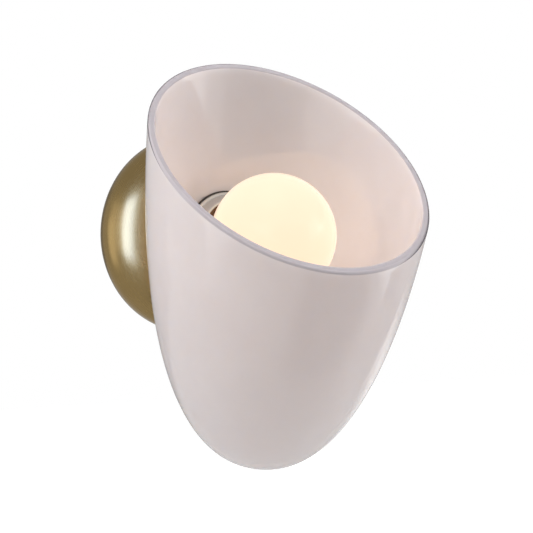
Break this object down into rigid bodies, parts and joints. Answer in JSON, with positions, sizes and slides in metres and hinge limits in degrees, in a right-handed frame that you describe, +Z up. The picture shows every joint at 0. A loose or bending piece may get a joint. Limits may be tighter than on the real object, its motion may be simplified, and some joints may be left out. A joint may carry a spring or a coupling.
{
  "type": "wall sconce",
  "caption": "Wall sconce: a tilted, slant-cut opal glass shade held on a round brass canopy by a ring nut, with a lampholder and a globe bulb that unscrews.",
  "frame": {"origin": "on the wall plane, at the centre of the two box screws and on the axis of the lampholder and bulb", "axes": "+Y into the wall, -Y into the room, +Z up"},
  "size_m": [0.1816, 0.2184, 0.264],
  "materials": {
    "opal_glass": "gloss",
    "satin_brass": "satin",
    "zinc_steel": "satin",
    "nickel": "satin",
    "contact_brass": "satin",
    "brown_phenolic": "gloss",
    "insulating_board": "matte",
    "black_rubber": "matte",
    "white_nylon": "satin",
    "green_paint": "gloss",
    "black_insulation": "satin",
    "white_insulation": "satin",
    "green_insulation": "satin",
    "bulb_glass": "satin",
    "clear_glass": "gloss",
    "black_glass": "gloss",
    "tungsten": "matte"
  },
  "bodies": {
    "fixture": {"mounting_strap": "zinc_steel", "ground_screw": "green_paint", "terminal_block": "white_nylon", "terminal_clamps": "contact_brass", "terminal_screws": "zinc_steel", "block_screws": "zinc_steel", "canopy": "satin_brass", "canopy_screws": "satin_brass", "nipple": "zinc_steel", "lock_washer": "zinc_steel", "canopy_nut": "contact_brass", "neck": "satin_brass", "outer_gasket": "black_rubber", "shade": "opal_glass", "inner_gasket": "black_rubber", "shade_ring": "nickel", "holder_body": "brown_phenolic", "insulating_disc": "insulating_board", "screw_shell": "contact_brass", "shell_tab": "contact_brass", "contact_foot_strip": "contact_brass", "contact_rivets": "contact_brass", "holder_terminals": "contact_brass", "live_lead": "black_insulation", "neutral_lead": "white_insulation", "ground_lead": "green_insulation", "ground_lugs": "contact_brass"},
    "bulb_core": {"bulb_button": "nickel"},
    "bulb": {"bulb_globe": "bulb_glass", "bulb_cap": "nickel", "bulb_insulator": "black_glass", "bulb_stem": "clear_glass", "bulb_support_wires": "tungsten", "bulb_filament": "tungsten"},
    "contact_spring": {"contact_tongue": "contact_brass"}
  },
  "joints": [
    {"name": "bulb_advance", "type": "slide", "parent": "fixture", "child": "bulb_core", "axis": [0, -1, 0], "range_m": [0, 0.01089]},
    {"name": "bulb_turn", "type": "hinge", "parent": "bulb_core", "child": "bulb", "pos_m": [0, -0.0487, 0], "axis": [0, -1, 0], "range_deg": [0, 1080]},
    {"name": "contact_press", "type": "hinge", "parent": "fixture", "child": "contact_spring", "pos_m": [0, -0.0453, -0.0065], "axis": [-1, 0, 0], "range_deg": [0, 4], "stiffness_Nm_per_rad": 0.02}
  ],
  "couplings": [
    {"joint": "bulb_advance", "follows": "bulb_turn", "m_per_rad": 0.00057751}
  ]
}
